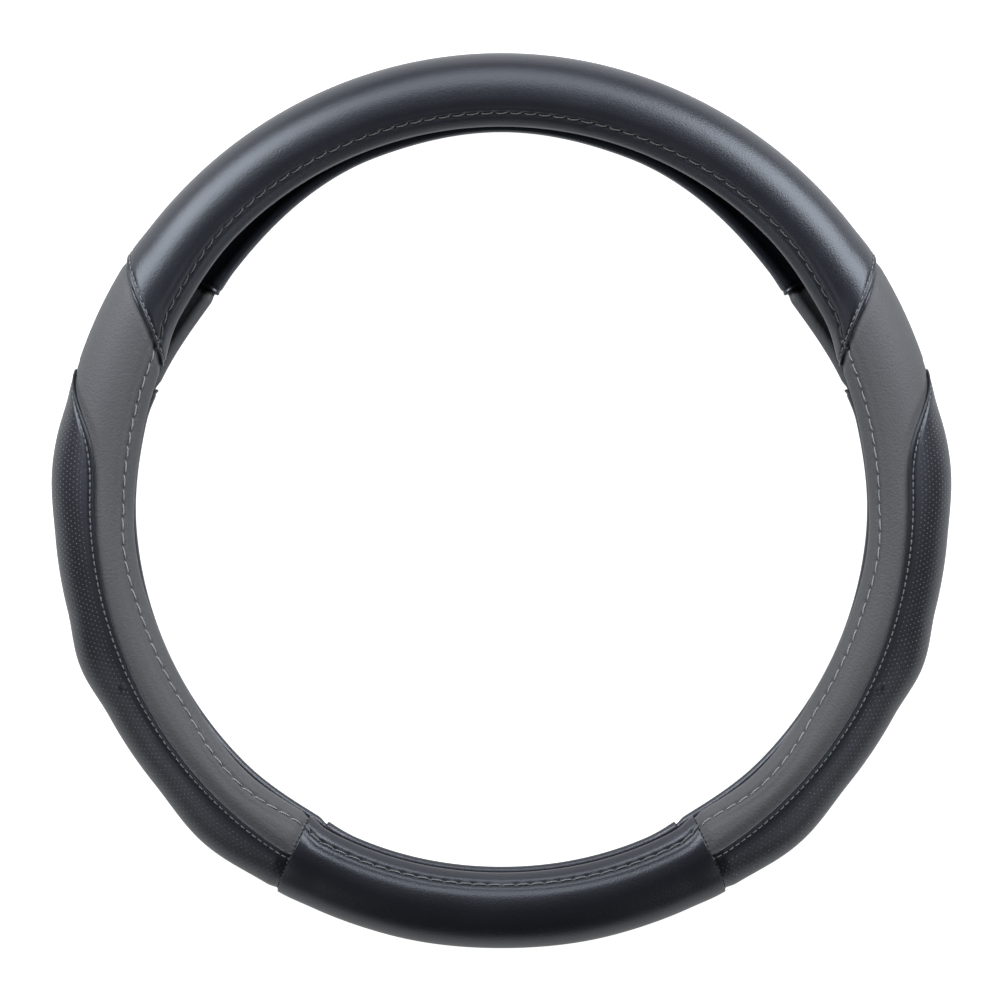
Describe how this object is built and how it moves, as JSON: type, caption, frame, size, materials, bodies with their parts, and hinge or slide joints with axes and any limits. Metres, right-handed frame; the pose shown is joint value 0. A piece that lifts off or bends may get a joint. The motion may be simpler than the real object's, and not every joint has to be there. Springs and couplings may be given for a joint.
{
  "type": "steering wheel cover",
  "caption": "Slip-on steering wheel cover: a moulded rubber ring dressed in black, grey and perforated leatherette with sewn seams.",
  "frame": {"origin": "centre of the ring, on the surface that its rear lies on", "axes": "+Z along the ring's axis, out of the face that the driver sees; +Y to the top of the wheel; +X to the driver's right"},
  "size_m": [0.391, 0.3888, 0.0379],
  "materials": {
    "black_leatherette": "satin, fine grain",
    "perforated_leatherette": "satin, with rows of small holes",
    "grey_leatherette": "matte, pebble grain",
    "rubber": "matte, moulded",
    "thread": "twisted polyester"
  },
  "bodies": {
    "root": {"moulded_ring": "rubber", "top_panel": "black_leatherette", "bottom_panel": "black_leatherette", "left_grey_panel": "grey_leatherette", "left_grip_panel": "perforated_leatherette", "right_grey_panel": "grey_leatherette", "right_grip_panel": "perforated_leatherette"}
  },
  "joints": []
}
